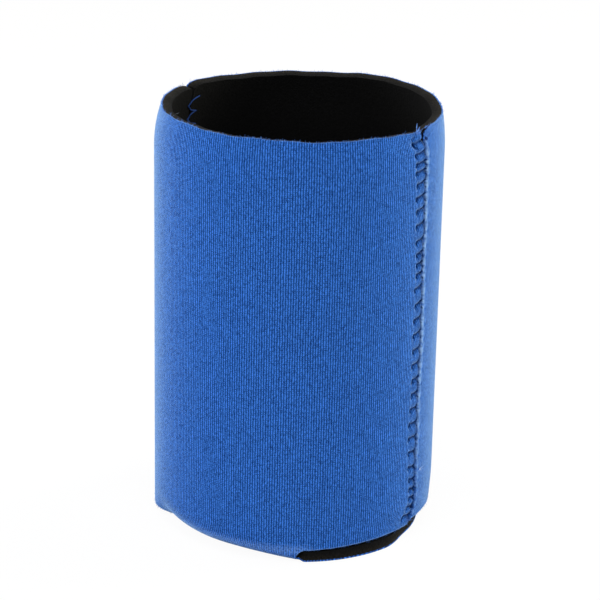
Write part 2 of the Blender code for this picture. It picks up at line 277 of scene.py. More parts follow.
def stitch_relief(across, height, right):
    """How far the face stands out beside a seam, and the shade painted where the knit is drawn down into it.
    """
    holes, nears = (HOLES_RIGHT, NEAR_RIGHT) if right else (HOLES_LEFT, NEAR_LEFT)
    k = np.abs(height[..., None] - holes).argmin(axis=-1)
    spacing = np.diff(holes)
    up = spacing[np.minimum(k, len(spacing) - 1)] / 2
    down = spacing[np.maximum(k - 1, 0)] / 2
    near, over = nears[k], height - holes[k]
    near_side = across < 0
    sewn = eased((height - holes[0] + SEWN_BELOW) / SEWN_FADE)
    sewn = sewn * eased((holes[-1] + SEWN_ABOVE - height) / SEWN_FADE)
    inside = 1 - eased((-across - np.interp(height, holes, nears) - BAND_OVER) / BAND_FADE)
    band = np.where(near_side, inside, 1 - eased(across / NEEDLE_FAR))

    # The rising leg lies in a deep groove and the falling leg in a faint one, and the knit swells
    # between them
    before, beyond = np.maximum(-near - across, 0), np.maximum(across - NEEDLE_FAR, 0)
    to_up, to_down = (np.sqrt((LEG_SLANT * (over - leg)) ** 2 + before**2 + beyond**2)
                      for leg in leg_heights(across, height, near, up, down))
    deep = GROOVE + GROOVE_BY_HOLE * fading(np.maximum(across + near, 0), GROOVE_BY_HOLE_LENGTH)
    deep = np.where(near_side, deep, GROOVE_BEYOND)
    groove = deep * np.maximum(hump(to_up, GROOVE_WIDTH), FAINT_GROOVE * hump(to_down, FAINT_GROOVE_WIDTH))
    pillow = 1 - hump(to_up, PILLOW_WIDTH) * (1 - FAINT_PILLOW * (1 - hump(to_down, PILLOW_WIDTH)))
    pillow = pillow * np.where(near_side, PILLOW, PILLOW_BEYOND)
    creases = CREASE * np.sin(height * 7600 + across * 900 + 2 * np.sin(height * 1100)) * near_side
    swell = pillow - groove + creases - BAND_SUNK * near_side

    # The needle holes are dimples, deepest on the near side
    aside, above = across + near - DIMPLE_SHIFT[0], over - DIMPLE_SHIFT[1]
    near_hole = (aside / DIMPLE_SIZE[0]) ** 2 + (above / DIMPLE_SIZE[1]) ** 2
    aside, above = across - NEEDLE_FAR, np.abs(over) - np.where(over > 0, up, down)
    far_hole = (aside / FAR_DIMPLE_SIZE[0]) ** 2 + (above / FAR_DIMPLE_SIZE[1]) ** 2
    dimples = DIMPLE * np.exp(-near_hole) + FAR_DIMPLE * np.exp(-far_hole)
    relief = sewn * (band * swell - dimples)

    # Over each rising leg the butt gapes, drawn only as painted shade, and the last stitch on the right ends
    # in a loop. Painted shade also fills the needle holes, the rising legs' grooves, the loop and the sewn
    # band
    past_leg = over - leg_heights(0 * across, height, near, up, down)[0]
    gape = stepped(past_leg, *GAPE_STARTS) * (1 - stepped(past_leg, *GAPE_ENDS)) * hump(across, GAPE_WIDTH)
    leg_shade = SHADE_LEG * hump(to_up, SHADE_LEG_WIDTH)
    # Painted shade: holes, rising legs and the gaping butt are darkened in the colour
    painted_shade = sewn * near_side * (np.exp(-SHADE_HOLE_SHARE * near_hole) + leg_shade + SHADE_BUTT * gape)
    to_loop = np.abs(np.hypot(across - TOP_LOOP[0], height - TOP_LOOP[1]) - TOP_LOOP[2]) if right else 1.0
    loop = (1 - stepped(across, TOP_LOOP[0], LOOP_FADE)) * hump(to_loop, LOOP_WIDTH)
    relief = relief - LOOP_DEEP * loop
    painted_shade = painted_shade + SHADE_LOOP * loop + SHADE_BAND * sewn * near_side * band

    # Behind the butt line the knit stands up as a ridge, and both its edges roll in
    crest = RIDGE * np.exp(-((np.maximum(across, 0) / RIDGE_WIDTH) ** 1.6)) * ~near_side
    rolled = np.where(near_side, *ROLLED_IN) * hump(across, ROLLED_WIDTH)
    relief = relief + crest * blended(RIDGE_UNSEWN, 1, sewn) - rolled * blended(ROLLED_UNSEWN, 1, sewn)
    return relief, limited(painted_shade)


SEAM_RELIEF_REACH = 0.006


def relief_of(bearing, height):
    """Both seams' relief on the wall, and the shade painted where the knit is drawn down."""
    relief, painted_shade = np.zeros((2, *height.shape))
    for right in (True, False):
        turn = bearing if right else np.where(bearing > 0, bearing - pi, bearing + pi)
        close = np.abs(turn) * WALL_RADIUS < SEAM_RELIEF_REACH
        relief[close], painted_shade[close] = stitch_relief(turn[close] * WALL_RADIUS, height[close], right)
    return relief, painted_shade


def flat_blank(bearing, middle, reach, height):
    """Places on the flat blank, across it and along it from the middle of the base."""
    turn = np.broadcast_to(bearing, height.shape) - middle
    held = np.clip(turn, NOTCH_REACH - QUARTER, QUARTER - NOTCH_REACH)
    edge = (reach / WALL_RADIUS) ** 4
    flat = WALL_RADIUS - FOLD_RADIUS
    arc = np.where(reach < flat, reach, flat + FOLD_RADIUS * np.arcsin(limited((reach - flat) / FOLD_RADIUS)))
    low = np.arccos(limited(1 - height / FOLD_RADIUS))
    base_across = reach * np.sin(turn) + WALL_RADIUS * edge * (held - np.sin(held))
    base_along = arc * (np.cos(turn) - np.cos(held) + blended(np.cos(held), 1, edge))
    wall_along = flat + FOLD_RADIUS * low + np.maximum(height - FOLD_RADIUS, 0)
    wall = np.isnan(reach)
    return np.where(wall, WALL_RADIUS * turn, base_across), np.where(wall, wall_along, base_along)


# How the blank's grid is divided: closely beside a seam and at the end of a slit
SEAM_BAND = 0.0055
TIP_BAND, TIP_SPACING = (0.0030, 0.0004), 0.00030
BASE_SHARES = np.concatenate([[0, 0.2, 0.38, 0.52, 0.63, 0.71], np.linspace(0.77, 1, 14)])
LOWER_WALL = 0.0063


def half_columns(fine, coarse, middle):
    """Bearings of a half blank's columns, closest at its seams and at the ends of its slits."""
    tip = NOTCH_REACH * WALL_RADIUS
    tip_starts, tip_ends = tip - TIP_BAND[0], tip + TIP_BAND[1]
    stops = [(0, SEAM_BAND, fine), (SEAM_BAND, tip_starts, coarse), (tip_starts, tip_ends, TIP_SPACING),
             (tip_ends, QUARTER * WALL_RADIUS, coarse)]
    quarter = [np.linspace(a, b, round((b - a) / step), endpoint=False) for a, b, step in stops]
    quarter = np.concatenate(quarter) / WALL_RADIUS
    return np.concatenate([quarter, [QUARTER], pi - quarter[::-1]]) + middle - QUARTER


RIM_CORNER = 0.0014  # how far the rim's drop reaches at a seam, and the slant of its inner edge
# How far in the sheet is worn at the rim, the seams and the slits, how much less on the left and
# low down, and how much highlight is painted along the bend and by the left slit's end
RIM_WEAR_REACH, SEAM_WEAR_REACH, SLIT_WEAR_REACH = 0.00035, 0.00040, 0.00030
LEFT_WEAR, LOW_WEAR, LOW_WEAR_HEIGHT = 0.45, 0.45, 0.045
BEND_HIGHLIGHT, BEND_HIGHLIGHT_HEIGHT, BEND_HIGHLIGHT_WIDTH = 0.45, 0.0032, 0.0028
LEFT_BEND_HIGHLIGHT, LEFT_BEND_HIGHLIGHT_ANGLE, LEFT_BEND_HIGHLIGHT_REACH = 0.9, radians(43), radians(12.5)


def half_blank(name, middle, spacing, butt, rim_drops, depths, edge_wear):
    """One wall panel with its half of the base, folded up: a flat grid, cut, thickened and bent."""
    fine, coarse, step = spacing
    columns = half_columns(fine, coarse, middle)
    lower = np.linspace(0, 1, round(LOWER_WALL / step) + 1)
    upper = np.arange(1, round((RIM_HEIGHT - FOLD_RADIUS) / step) + 1)
    base_rows = len(BASE_SHARES)
    rows = base_rows + len(lower) + len(upper)
    bpy.ops.object.select_all(action="DESELECT")
    bpy.ops.mesh.primitive_grid_add(x_subdivisions=len(columns) - 1, y_subdivisions=rows - 1, size=1)
    piece = bpy.context.object
    piece.name = piece.data.name = name

    # The slit: the strip between base and wall is cut away as far as the fold
    angle, right = from_seam(columns)
    bpy.ops.object.mode_set(mode="EDIT")
    bpy.ops.mesh.select_mode(type="FACE")
    bpy.ops.mesh.select_all(action="DESELECT")
    bpy.ops.object.mode_set(mode="OBJECT")
    cut = np.zeros((rows - 1, len(columns) - 1), dtype=bool)
    cut[base_rows - 1] = np.minimum(angle[:-1], angle[1:]) < NOTCH_REACH - 1e-6
    piece.data.polygons.foreach_set("select", cut.ravel())
    bpy.ops.object.mode_set(mode="EDIT")
    bpy.ops.mesh.delete(type="FACE")
    bpy.ops.object.mode_set(mode="OBJECT")
    thickness = piece.modifiers.new("thickness", "SOLIDIFY")
    thickness.thickness, thickness.offset = 0.1, -1  # for the order of the skins, which are placed next
    bpy.ops.object.modifier_apply(modifier="thickness")

    # Every point of the grid goes to its place on the folded sheet
    edge_reach, edge_height = edges(columns)
    side = np.sign(middle)
    beyond = np.where(right, side > 0, side < 0)  # on the side of a seam that has its ridge
    top = rim_height(columns) - np.where(beyond, *rim_drops[:2]) * fading(angle * WALL_RADIUS, RIM_CORNER)
    reach = BASE_SHARES[:, None] * edge_reach
    heights = [blended(edge_height, FOLD_RADIUS, share) for share in lower]
    height = np.array(heights + [blended(FOLD_RADIUS, top, share) for share in upper / len(upper)])
    opened = limited((height - rim_height(columns) + SEAM_OPENING_DEPTH) / SEAM_OPENING_DEPTH)
    wide = np.maximum(angle, blended(butt, SEAM_OPENING / 2, opened) / WALL_RADIUS)
    bearing = side * np.where(right, wide, pi - wide)
    relief, painted_shade = relief_of(bearing, height)
    from_butt = wide * WALL_RADIUS - butt
    lowered = rim_drops[2] * hump(top - height, RIM_CORNER)
    skins = []
    for k, lower_by in enumerate((0, lowered)):
        base_depth, wall_depth = depths(0 * reach, 1 + 0 * reach)[k], depths(relief, from_butt)[k]
        base = base_places(np.broadcast_to(columns, reach.shape), reach, base_depth)
        skins.append(np.concatenate([base, wall_places(bearing, height - lower_by, wall_depth)]))
    piece.data.vertices.foreach_set("co", np.stack(skins).astype(np.float32).ravel())

    # The flat blank's own coordinates become the piece's map, so the knit runs as it was cut
    no_reach = np.full(height.shape, np.nan)
    grid = np.concatenate([reach, no_reach]), np.concatenate([0 * reach, height])
    across, along = flat_blank(columns, middle, *grid)
    corners = np.zeros(len(piece.data.loops), dtype=np.int32)
    piece.data.loops.foreach_get("vertex_index", corners)
    flat = np.tile(np.stack([across, along], axis=-1).reshape(-1, 2), (2, 1))[corners]
    piece.data.uv_layers[0].data.foreach_set("uv", flat.astype(np.float32).ravel())

    # Wear, from 0 to 1: along the rim, the seams with their patchy ridges and the slits; along the bend it is
    # a painted highlight
    rim_wear, near_wear, far_wear, wall_wear, base_wear, inner_share = edge_wear
    patchy = 0.82 + 0.18 * np.sin(height * 2300 + 2 * np.sin(height * 700))
    faint_below = blended(LOW_WEAR, 1.0, eased(height / LOW_WEAR_HEIGHT))
    seam_wear = np.where(beyond, far_wear * np.where(right, 1.0, LEFT_WEAR) * patchy * faint_below, near_wear)
    slit = np.where(angle < NOTCH_REACH, 1.0, 0.0)
    # A painted highlight where the knit turns over the bend, stronger by the left slit's end, standing in for
    # light that falls there
    bend_highlight_left = LEFT_BEND_HIGHLIGHT * ~right * hump(angle - LEFT_BEND_HIGHLIGHT_ANGLE, LEFT_BEND_HIGHLIGHT_REACH)
    bend_highlight = np.maximum(bend(columns)[1], bend_highlight_left)
    wall = [rim_wear * fading(top - height, RIM_WEAR_REACH),
            seam_wear * fading(from_butt, SEAM_WEAR_REACH),
            wall_wear * slit * fading(height - edge_height, SLIT_WEAR_REACH),
            BEND_HIGHLIGHT * bend_highlight * hump(height - BEND_HIGHLIGHT_HEIGHT, BEND_HIGHLIGHT_WIDTH)]
    base = base_wear * slit * fading(edge_reach - reach, SLIT_WEAR_REACH)
    fray_and_bend_highlight = np.concatenate([base, np.max(wall, axis=0)])
    # Both go into the knit's colour: the fray with its painted highlight along the bend, and the painted
    # shade of the stitches
    for word, values in (("fray_and_bend_highlight", fray_and_bend_highlight), ("painted_shade", np.concatenate([0 * reach, painted_shade]))):
        attribute = piece.data.attributes.new(word, "FLOAT", "POINT")
        both_skins = np.outer((1, inner_share), values.ravel()).ravel()
        attribute.data.foreach_set("value", both_skins.astype(np.float32))

    # The middle of the base is one point
    bpy.ops.object.mode_set(mode="EDIT")
    bpy.ops.mesh.select_all(action="SELECT")
    bpy.ops.mesh.remove_doubles(threshold=1e-6)
    bpy.ops.mesh.normals_make_consistent(inside=False)
    bpy.ops.object.mode_set(mode="OBJECT")
    return piece


FOAM_UNDER_SHARE, FOAM_CRUSH_SHARE, FOAM_UNDER_STITCHES = 0.9, 1.15, 0.0003


def foam_depths(relief, from_butt):
    """The foam's face is just under the knit, a little lower where the stitches crush it."""
    under = KNIT * FOAM_UNDER_SHARE - np.minimum(relief, 0) * FOAM_CRUSH_SHARE
    under = under + FOAM_UNDER_STITCHES * (np.abs(relief) > 1e-5)
    return under, SHEET + 0 * relief


class Wire:
    """An output of a material's nodes, so that shader maths reads as an expression."""

    def __init__(self, tree, socket=None):
        self.tree, self.socket = tree, socket

    def add(self, kind, settings=None, sockets=None, output=0):
        node = self.tree.nodes.new(kind)
        for name, value in (settings or {}).items():
            setattr(node, name, value)
        for name, value in (sockets or {}).items():
            if isinstance(value, Wire):
                self.tree.links.new(value.socket, node.inputs[name])
            else:
                node.inputs[name].default_value = value
        return Wire(self.tree, node.outputs[output])

    def maths(self, operation, *others):
        return self.add("ShaderNodeMath", {"operation": operation}, dict(enumerate((self, *others))))

    def __add__(self, other):
        return self.maths("ADD", other)

    __radd__ = __add__

    def __sub__(self, other):
        return self.maths("SUBTRACT", other)

    def __rsub__(self, other):
        return self.add("ShaderNodeMath", {"operation": "SUBTRACT"}, {0: other, 1: self})

    def __mul__(self, other):
        return self.maths("MULTIPLY", other)

    __rmul__ = __mul__

    def __truediv__(self, other):
        return self.maths("DIVIDE", other)

    def __pow__(self, other):
        return self.maths("POWER", other)

    def clipped(self):
        return self.maths("MAXIMUM", 0.0).maths("MINIMUM", 1.0)

    def into(self, node, socket):
        self.tree.links.new(self.socket, node.inputs[socket])

    def mixed(self, first, second):
        """Two colours mixed by this value."""
        sockets = {0: self, 6: first, 7: second}
        return self.add("ShaderNodeMix", {"data_type": "RGBA"}, sockets, 2)

    def noise(self, scale, detail=2.0, roughness=0.5):
        sockets = {"Vector": self, "Scale": scale, "Detail": detail, "Roughness": roughness}
        return self.add("ShaderNodeTexNoise", {}, sockets, "Fac")


def finish(name, constants):
    """A new material, a wire to start its nodes from, and its shader."""
    material = bpy.data.materials.new(name)
    material.use_nodes = True
    shader = material.node_tree.nodes["Principled BSDF"]
    for socket, value in constants.items():
        shader.inputs[socket].default_value = value
    return material, Wire(material.node_tree), shader


def black_foam_finish():
    """Closed-cell foam rubber: matt black, pricked with the cut cells."""
    material, start, shader = finish("black_foam", {"Roughness": 0.85, "Specular IOR Level": 0.05})
    place = start.add("ShaderNodeTexCoord", output="Object")
    cells = place.add("ShaderNodeTexVoronoi", {}, {"Vector": place, "Scale": 2600.0}, "Distance")
    crumbs = place.noise(1500.0, 3.0, 0.7)
    # The same mask holds the painted highlight along the bend
    cut = start.add("ShaderNodeAttribute", {"attribute_name": "fray_and_bend_highlight"}, output="Fac") ** 3.0
    pitted = (crumbs * 1.6 - 0.3 - cells * 0.4).clipped()
    # The lining's near-black is partly the foam's own black and partly painted shade of the inside of the
    # sleeve
    lining = pitted.mixed((0.0025, 0.0025, 0.0025, 1), (0.0060, 0.0060, 0.0064, 1))
    opened = pitted.mixed((0.006, 0.005, 0.004, 1), (0.046, 0.040, 0.030, 1))
    cut.mixed(lining, opened).into(shader, "Base Color")
    height = cells * 0.5 + crumbs
    bump = start.add("ShaderNodeBump", {}, {"Height": height, "Strength": 1.0, "Distance": 0.00018})
    bump.into(shader, "Normal")
    return material


black_foam = black_foam_finish()
FOAM_SPACING = (0.0005, 0.0020, 0.0008)  # of its columns beside a seam, of the others, and of its rows
FOAM_BUTT = 0.00028  # from the butt line to its edge
FOAM_RIM_DROPS = (0.0008, 0.0008, 0.0006)  # at the seam's far and near edge, and of the inner face
FOAM_WEAR = (1, 1, 1, 0.8, 0.9, 0.25)  # of the rim, near edge, far edge, wall's and base's edges, inner share
for side, middle in (("front", -QUARTER), ("rear", QUARTER)):
    core = half_blank(f"foam_{side}_half", middle, FOAM_SPACING, FOAM_BUTT, FOAM_RIM_DROPS,
                      foam_depths, FOAM_WEAR)
    core.data.materials.append(black_foam)
    core.data.shade_smooth()
    core.data.set_sharp_from_angle(angle=radians(40))
    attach(core, "root")

# The knit face: a fine polyester jersey, 0.4 mm thick, bonded to the foam before the blank was
# cut. Its wales run up the walls and straight across the base. The stitches pull it into dimples
# and grooves with small pillows between, and its cut edges are a little frayed.
WALE = 0.00062
COURSE = 0.00050


def blue_knit_finish():
    """Jersey knit on the blank's own map: columns of slanting loops, with a painted highlight where they
    stand up and painted shade between them.
    """
    material, start, shader = finish("blue_knit", {
        "Roughness": 0.85, "Specular IOR Level": 0.05, "Sheen Weight": 1.0, "Sheen Roughness": 0.26,
        "Sheen Tint": (0.47, 0.73, 1.0, 1)})
    flat = start.add("ShaderNodeUVMap", {"uv_map": "UVMap"})
    parts = flat.add("ShaderNodeSeparateXYZ", {}, {0: flat}).socket.node
    across, along = Wire(start.tree, parts.outputs[0]), Wire(start.tree, parts.outputs[1])
    wale = across / WALE + (flat.noise(300.0, 1.0) - 0.5) * 0.3
    aside = (wale - wale.maths("FLOOR") - 0.5).maths("ABSOLUTE") * 2
    slant = along / COURSE + aside * 0.7 + (flat.noise(500.0, 1.0) - 0.5) * 0.4
    loop = (slant * (2 * pi)).maths("SINE") * 0.5 + 0.5
    rib = (1.55 - aside * 2.1).clipped()
    column, row = (wale * 2).maths("FLOOR"), (slant * 2).maths("FLOOR")
    cell = start.add("ShaderNodeCombineXYZ", {}, {0: column, 1: row})
    uneven = cell.add("ShaderNodeTexWhiteNoise", {"noise_dimensions": "2D"}, {"Vector": cell}, "Value")
    # The colour follows the loops' height: a painted highlight on the crowns and painted shade between them,
    # with a random tone of each stitch on top
    height = (rib * 0.8 + 0.2) * (loop * 0.45 + uneven * 0.93 + 0.08) + (flat.noise(3600.0, 0.0) - 0.5) * 0.5
    tone_and_loop_light = (height * 0.84 + 0.015).clipped()
    colour = tone_and_loop_light.mixed((0.0008, 0.0135, 0.088, 1), (0.050, 0.230, 0.835, 1))
    # Paler frayed edges, and a painted highlight along the bend, from the same mask
    fray_and_bend_highlight = start.add("ShaderNodeAttribute", {"attribute_name": "fray_and_bend_highlight"}, output="Fac")
    tufts = (fray_and_bend_highlight * 2.6 * flat.noise(1700.0, 2.0) - 0.35).clipped()
    colour = tufts.mixed(colour, fray_and_bend_highlight.mixed((0.10, 0.27, 0.85, 1), (0.36, 0.58, 0.88, 1)))
    # Painted shade in the stitches' dimples, grooves and gaping butt
    painted_shade = start.add("ShaderNodeAttribute", {"attribute_name": "painted_shade"}, output="Fac")
    colour = (painted_shade * 0.85).mixed(colour, (0.004, 0.024, 0.110, 1))
    colour.into(shader, "Base Color")
    bump = start.add("ShaderNodeBump", {}, {"Height": height, "Strength": 0.5, "Distance": 0.00012})
    bump.into(shader, "Normal")
    return material


KNIT_WRAP, KNIT_WRAP_WIDTH = 0.0006, 0.00018


def knit_depths(relief, from_butt):
    """The knit's two faces. At the seams it wraps a little over the cut edge of the foam."""
    return -relief, KNIT - relief + KNIT_WRAP * hump(from_butt, KNIT_WRAP_WIDTH)


blue_knit = blue_knit_finish()
KNIT_SPACING, KNIT_BUTT = (0.00024, 0.0017, 0.00032), 0.00006  # all of these as the foam's
KNIT_RIM_DROPS, KNIT_WEAR = (0.0030, 0.0009, 0.0001), (0.45, 0.1, 1.15, 0.7, 0.1, 0.35)
for side, middle in (("front", -QUARTER), ("rear", QUARTER)):
    knit = half_blank(f"knit_{side}_half", middle, KNIT_SPACING, KNIT_BUTT, KNIT_RIM_DROPS,
                      knit_depths, KNIT_WEAR)
    knit.data.materials.append(blue_knit)
    rounding = knit.modifiers.new("edge_rounding", "BEVEL")
    rounding.width, rounding.segments = KNIT / 4, 2
    rounding.limit_method, rounding.angle_limit = "ANGLE", radians(50)
    bpy.context.view_layer.objects.active = knit
    bpy.ops.object.modifier_apply(modifier="edge_rounding")
    knit.data.shade_smooth()
    knit.data.set_sharp_from_angle(angle=radians(60))
    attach(knit, "root")
    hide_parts("foam_sleeve")

# The needle threads: three-ply polyester, zigzagged over each seam. Each leg lies in its groove
# and goes down through the sheet at the needle holes.
THREAD = 0.0004
PLY_TWIST = 0.0011
THREAD_STEP = 0.00017
LEG_POINTS = 13
FALLING_DRAWN_IN, RISING_DRAWN_IN, BEYOND_DRAWN_IN = 0.00022, -0.00004, 0.00028


def seam_places(right, across, height, depth):
    """Points beside a butt seam, at a distance anticlockwise from the butt line."""
    bearing = (0.0 if right else pi) + across / WALL_RADIUS
    return wall_places(np.where(bearing > pi, bearing - 2 * pi, bearing), height, depth)


def zigzag(right):
    """The path of a needle thread over its seam: across it, up it, and how deep it is drawn in."""
    holes, nears = (HOLES_RIGHT, NEAR_RIGHT) if right else (HOLES_LEFT, NEAR_LEFT)
    route = []
    shares = np.linspace(0.0, 1.0, LEG_POINTS)
    for k, (hole, near) in enumerate(zip(holes, nears)):
        if k:
            down = (hole - holes[k - 1]) / 2
            across = blended(NEEDLE_FAR, -near, shares)
            route += [(a, hole + leg_heights(a, hole, near, down, down)[1], FALLING_DRAWN_IN) for a in across]
        if k + 1 < len(holes):
            up = (holes[k + 1] - hole) / 2
            across = blended(-near, NEEDLE_FAR, shares)
            route += [(a, hole + leg_heights(a, hole, near, up, up)[0], RISING_DRAWN_IN) for a in across]
    return np.array(route)


def twisted_thread(name, places, radius, material, facets=9):
    """A three-ply thread along a path, as a curve with a lobed section that turns as it goes."""
    lengths = np.concatenate([[0], np.cumsum(np.linalg.norm(np.diff(places, axis=0), axis=1))])
    keep = np.concatenate([[True], np.diff(lengths) > 1e-7])
    lengths, places = lengths[keep], places[keep]
    even = np.linspace(0, lengths[-1], round(lengths[-1] / THREAD_STEP))
    points = np.stack([np.interp(even, lengths, places[:, k]) for k in range(3)], axis=-1)
    for _ in range(2):
        points[1:-1] = (points[:-2] + 2 * points[1:-1] + points[2:]) / 4
    bpy.ops.object.select_all(action="DESELECT")
    bpy.ops.curve.primitive_nurbs_circle_add(radius=radius)
    section = bpy.context.object
    section.data.splines.clear()
    lobes = section.data.splines.new("POLY")
    lobes.points.add(facets - 1)
    lobes.use_cyclic_u = True
    for k, point in enumerate(lobes.points):
        turn = 2 * pi * k / facets
        out = radius * (0.88 + 0.12 * cos(3 * turn))
        point.co = (out * cos(turn), out * sin(turn), 0, 1)
    bpy.ops.curve.primitive_nurbs_path_add()
    piece = bpy.context.object
    piece.name = piece.data.name = name
    piece.data.splines.clear()
    line = piece.data.splines.new("POLY")
    line.points.add(len(points) - 1)
    line.points.foreach_set("co", np.column_stack([points, np.ones(len(points))]).ravel())
    line.points.foreach_set("tilt", even / PLY_TWIST * 2 * pi)
    piece.data.dimensions = "3D"
    piece.data.bevel_mode = "OBJECT"
    piece.data.bevel_object = section
    piece.data.use_fill_caps = True
    bpy.ops.object.select_all(action="DESELECT")
    piece.select_set(True)
    bpy.context.view_layer.objects.active = piece
    bpy.ops.object.convert(target="MESH")
    bpy.data.objects.remove(section, do_unlink=True)
    piece = bpy.context.object
    bpy.ops.object.mode_set(mode="EDIT")
    bpy.ops.mesh.select_all(action="SELECT")
    bpy.ops.mesh.remove_doubles(threshold=1e-7)
    bpy.ops.mesh.normals_make_consistent(inside=False)
    bpy.ops.object.mode_set(mode="OBJECT")
    piece.data.materials.append(material)
    piece.data.shade_smooth()
    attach(piece, "root")
    return piece


def blue_thread_finish():
    """Dyed polyester thread with a soft lustre and a few loose fibres."""
    material, start, shader = finish("blue_thread", {
        "Roughness": 0.7, "Specular IOR Level": 0.12, "Sheen Weight": 0.05, "Sheen Tint": (0.4, 0.6, 1.0, 1)})
    place = start.add("ShaderNodeTexCoord", output="Object")
    fibres = place.noise(4200.0, 2.0)
    colour = fibres.mixed((0.003, 0.018, 0.090, 1), (0.008, 0.050, 0.240, 1))
    colour.into(shader, "Base Color")
    bump = start.add("ShaderNodeBump", {}, {"Height": fibres, "Strength": 0.5, "Distance": 0.00004})
    bump.into(shader, "Normal")
    return material


blue_thread = blue_thread_finish()
for side, right in (("right", True), ("left", False)):
    across, height, drawn_in = zigzag(right).T
    relief, _ = stitch_relief(across, height, right)
    places = seam_places(right, across, height, np.where(across < 0, drawn_in, BEYOND_DRAWN_IN) - relief)
    needle = twisted_thread(f"sewing_needle_thread_{side}", places, THREAD / 2, blue_thread)
    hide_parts(f"needle_thread_{side}")

# The bobbin threads: the same three-ply thread inside the sleeve, a plain zigzag that is pulled
# flat on the lining and locks round the needle thread at every hole.
BOBBIN_OVER_LINING = 0.00012
for side, right in (("right", True), ("left", False)):
    across, height, _ = zigzag(right).T
    lying = seam_places(right, across, height, SHEET + BOBBIN_OVER_LINING + 0 * height)
    bobbin = twisted_thread(f"sewing_bobbin_thread_{side}", lying, THREAD / 2, blue_thread, 6)
    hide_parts(f"bobbin_thread_{side}")

# Loose fibres of the knit: the cut edges of the rim, the slits and the seams' ridges are fuzzy
# with them, and a few longer ones have worked free.
chance = np.random.default_rng(7)


def pale_fibre_finish():
    """Single fibres of the knit, which scatter more light than the cloth does."""
    material, start, shader = finish("pale_fibre", {"Roughness": 0.8, "Specular IOR Level": 0.1})
    place = start.add("ShaderNodeTexCoord", output="Object")
    colour = place.noise(1300.0, 1.0).mixed((0.010, 0.060, 0.350, 1), (0.200, 0.420, 0.950, 1))
    colour.into(shader, "Base Color")
    return material


def loose_fibres(name, roots, aims, lengths, radius, curl=0.45):
    """Hairs in one mesh: three-sided, thinner to the tip, each bent its own way."""
    count, steps = len(roots), np.linspace(0, 1, 5)
    lengths = np.broadcast_to(lengths, count)[:, None, None]
    bends = chance.normal(0, curl, (count, 1, 3))
    lines = roots[:, None] + lengths * (aims[:, None] * steps[:, None] + bends * steps[:, None] ** 2)
    side = np.cross(aims, chance.normal(0, 1, (count, 3)))
    side /= np.linalg.norm(side, axis=1)[:, None]
    other = np.cross(aims, side)
    other /= np.linalg.norm(other, axis=1)[:, None]
    turns = np.arange(3) * 2 * pi / 3
    ring = side[:, None] * np.cos(turns)[:, None] + other[:, None] * np.sin(turns)[:, None]
    points = lines[:, :, None] + ring[:, None] * (radius * (1 - 0.6 * steps))[:, None, None]
    starts = np.arange(count)[:, None] * 3 * len(steps)
    first = starts[..., None] + np.arange(len(steps) - 1)[:, None] * 3
    near, far = np.arange(3), (np.arange(3) + 1) % 3
    quads = np.stack([first + near, first + far, first + far + 3, first + near + 3], axis=-1).reshape(-1, 4)
    ends = np.concatenate([starts + (2, 1, 0), starts + 3 * len(steps) - (3, 2, 1)])
    mesh = bpy.data.meshes.new(name)
    mesh.from_pydata(points.reshape(-1, 3).tolist(), [], quads.tolist() + ends.tolist())
    piece = bpy.data.objects.new(name, mesh)
    bpy.context.collection.objects.link(piece)
    mesh.materials.append(pale_fibre)
    mesh.shade_smooth()
    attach(piece, "root")
    return piece


def away_from(bearing, outward, upward, around=0.0):
    """Directions beside the wall, each with a little chance of its own."""
    same = np.ones(len(bearing))
    aims = placed(bearing, outward * same, upward * same) + around * placed(bearing + QUARTER, same, 0 * same)
    aims += chance.normal(0, 0.35, aims.shape)
    return aims / np.linalg.norm(aims, axis=-1)[:, None]


pale_fibre = pale_fibre_finish()
FUZZ_ALONG_RIM, FUZZ_ALONG_SLITS, FUZZ_ALONG_RIDGES = 1500, 1100, 900
RIM_FUZZ, SLIT_FUZZ, RIDGE_FUZZ = (0.00015, 0.0005), (0.00015, 0.00045), (0.0002, 0.0006)
RIM_FUZZ_RADIUS, SLIT_FUZZ_RADIUS, RIDGE_FUZZ_RADIUS = 0.000045, 0.00004, 0.000035
RIM_FUZZ_ROOT, SLIT_FUZZ_ROOT, RIDGE_FUZZ_ROOT = 0.0002, 0.0001, 0.00005  # how far in they are rooted
RIM_FUZZ_FROM_SEAM = 0.0012
RIDGE_FUZZ_LOW, RIDGE_FUZZ_UNDER_RIM, RIDGE_FUZZ_SPREAD = 0.0055, 0.004, (0.00010, 0.00022)
bearing = chance.uniform(-pi, pi, FUZZ_ALONG_RIM)
bearing = bearing[from_seam(bearing)[0] * WALL_RADIUS > RIM_FUZZ_FROM_SEAM]
roots = wall_places(bearing, rim_height(bearing) - RIM_FUZZ_ROOT, chance.uniform(0, KNIT, len(bearing)))
aims = away_from(bearing, 0.25, 1.0)
loose_fibres("rim_fuzz", roots, aims, chance.uniform(*RIM_FUZZ, len(bearing)), RIM_FUZZ_RADIUS)

beside = chance.uniform(-NOTCH_REACH, NOTCH_REACH, FUZZ_ALONG_SLITS) * 0.97
bearing = np.where(chance.random(FUZZ_ALONG_SLITS) < 0.5, beside, pi - np.abs(beside))
bearing = np.where(beside < 0, -np.abs(bearing), np.abs(bearing))
roots = wall_places(bearing, edges(bearing)[1] + SLIT_FUZZ_ROOT, chance.uniform(0, KNIT, len(bearing)))
aims = away_from(bearing, 0.2, -1.0)
loose_fibres("slit_fuzz", roots, aims, chance.uniform(*SLIT_FUZZ, len(bearing)), SLIT_FUZZ_RADIUS)

